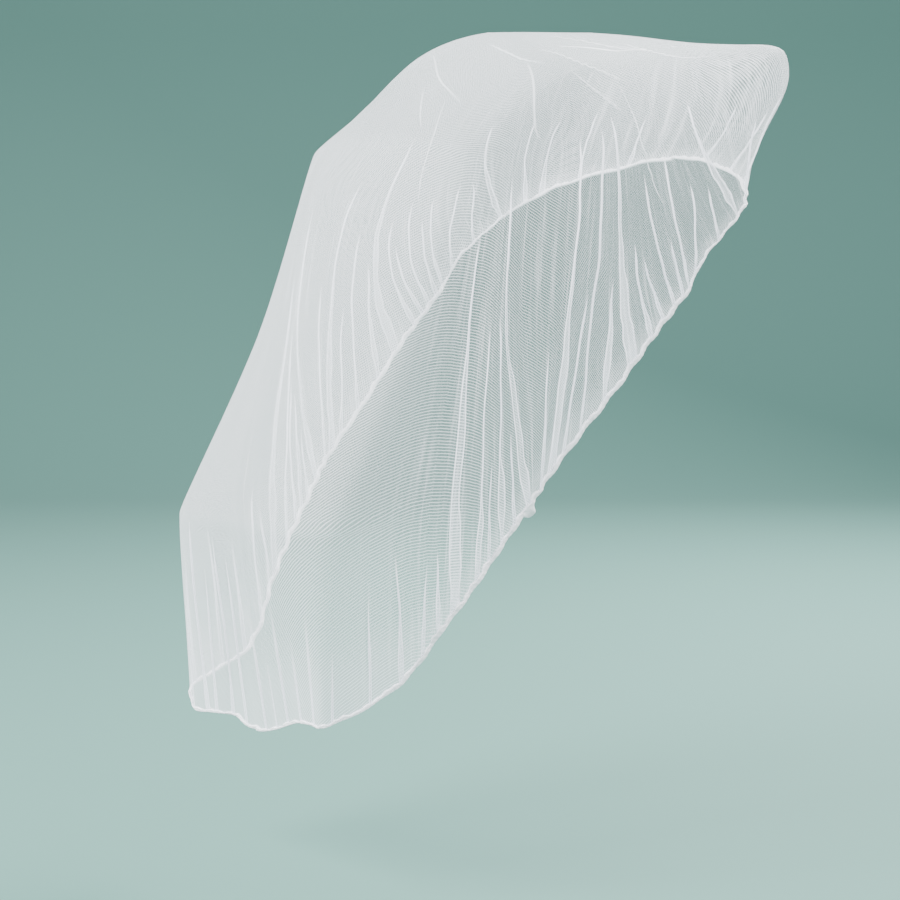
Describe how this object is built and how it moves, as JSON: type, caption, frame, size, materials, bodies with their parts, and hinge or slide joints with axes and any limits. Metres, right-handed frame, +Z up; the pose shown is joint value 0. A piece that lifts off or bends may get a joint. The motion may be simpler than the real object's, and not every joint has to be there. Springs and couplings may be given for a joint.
{
  "type": "stroller mosquito net",
  "caption": "Hooded insect net of fine mesh with a gathered elastic edge, hanging as it does over a pushchair: arched top, sloping front, diagonal sides and a pocket behind for the handle",
  "frame": {"origin": "The point under the top of the net, in its middle plane, by which the canopy it is drawn over holds it up", "axes": "+X across to the net's left-hand side as the child sits, -Y to the front, +Z up"},
  "size_m": [0.4874, 0.8515, 0.8886],
  "materials": {
    "netting": "sheer white polyester netting",
    "binding": "matt white gathered elastic tape"
  },
  "bodies": {
    "root": {"net": "netting", "elastic_binding": "binding"}
  },
  "joints": []
}
